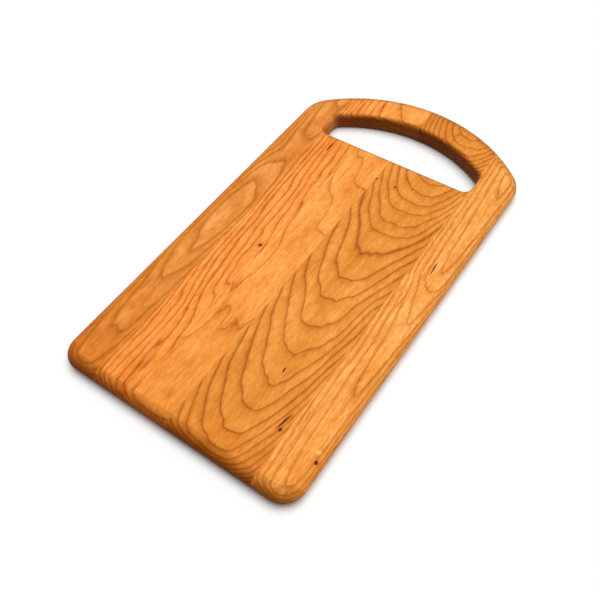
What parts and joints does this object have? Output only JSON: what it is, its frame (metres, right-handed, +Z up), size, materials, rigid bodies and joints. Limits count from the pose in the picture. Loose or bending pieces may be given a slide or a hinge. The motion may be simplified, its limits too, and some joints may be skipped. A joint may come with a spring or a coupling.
{
  "type": "cutting board",
  "caption": "Rectangular edge-glued cherry cutting board with an arched end, a D-shaped hand opening and softly rounded edges.",
  "frame": {"origin": "middle of the footprint on the underside, halfway along the length and width", "axes": "+Y along the grain towards the handle, +X across the strips to the right as seen from above with the handle away, +Z up through the thickness"},
  "size_m": [0.2286, 0.412, 0.016],
  "materials": {
    "cherry_rail": "cherry, sanded smooth and oiled, satin",
    "cherry_stave": "cherry, sanded smooth and oiled, satin",
    "glue_line": "cured waterproof wood glue, thin amber brown line, satin"
  },
  "bodies": {
    "root": {"left_rail": "cherry_rail", "right_rail": "cherry_rail", "body_stave_left": "cherry_stave", "body_stave_middle": "cherry_stave", "body_stave_right": "cherry_stave", "handle_block_left": "cherry_stave", "handle_block_middle": "cherry_stave", "handle_block_right": "cherry_stave", "glue_line_left_rail_body": "glue_line", "glue_line_left_rail_handle": "glue_line", "glue_line_left_middle_body": "glue_line", "glue_line_left_middle_handle": "glue_line", "glue_line_middle_right_body": "glue_line", "glue_line_middle_right_handle": "glue_line", "glue_line_right_rail_body": "glue_line", "glue_line_right_rail_handle": "glue_line"}
  },
  "joints": []
}
